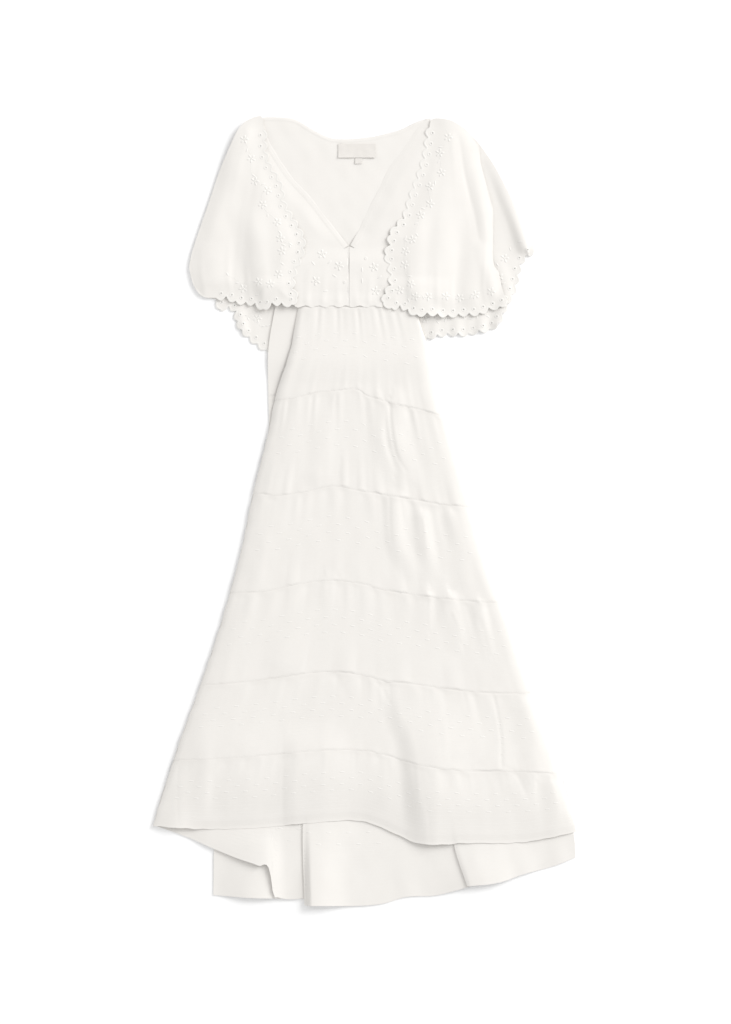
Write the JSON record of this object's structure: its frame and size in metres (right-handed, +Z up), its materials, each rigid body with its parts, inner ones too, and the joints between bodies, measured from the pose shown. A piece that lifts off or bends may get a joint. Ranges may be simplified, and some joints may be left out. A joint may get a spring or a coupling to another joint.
{
  "type": "embroidered midi dress, laid flat",
  "caption": "White cotton midi dress with a V neck, scalloped eyelet cape sleeves and a tiered, gathered skirt with a dipping back hem, laid flat.",
  "frame": {"origin": "centre of the dress's bounding box, on the surface that it lies on", "axes": "+Y from the hem to the neck, +X to the right as seen from above, +Z up, out of the front"},
  "size_m": [0.6779, 1.2626, 0.0208],
  "materials": {
    "tier_cotton": "matt cotton with fine woven cords",
    "bodice_cotton": "matt cotton voile",
    "cape_cotton": "matt cotton voile with satin-stitch embroidery",
    "binding_cotton": "matt stitched cotton",
    "label_satin": "soft satin"
  },
  "bodies": {
    "root": {"skirt_front_tier_1": "tier_cotton", "skirt_front_tier_2": "tier_cotton", "skirt_front_tier_3": "tier_cotton", "skirt_front_tier_4": "tier_cotton", "skirt_front_tier_5": "tier_cotton", "skirt_front_tier_6": "tier_cotton", "skirt_back_tier_1": "tier_cotton", "skirt_back_tier_2": "tier_cotton", "skirt_back_tier_3": "tier_cotton", "skirt_back_tier_4": "tier_cotton", "skirt_back_tier_5": "tier_cotton", "skirt_back_tier_6_under": "tier_cotton", "skirt_back_tier_6_left": "tier_cotton", "skirt_back_tier_6_middle": "tier_cotton", "skirt_back_tier_6_right": "tier_cotton", "bodice_back": "bodice_cotton", "bodice_front_left": "bodice_cotton", "bodice_front_right": "bodice_cotton", "cape_front_left": "cape_cotton", "cape_front_right": "cape_cotton", "cape_back_left": "cape_cotton", "cape_back_right": "cape_cotton", "back_neck_binding": "binding_cotton", "front_neck_binding_left": "binding_cotton", "front_neck_binding_right": "binding_cotton", "neck_label": "label_satin", "size_tab": "label_satin"}
  },
  "joints": []
}
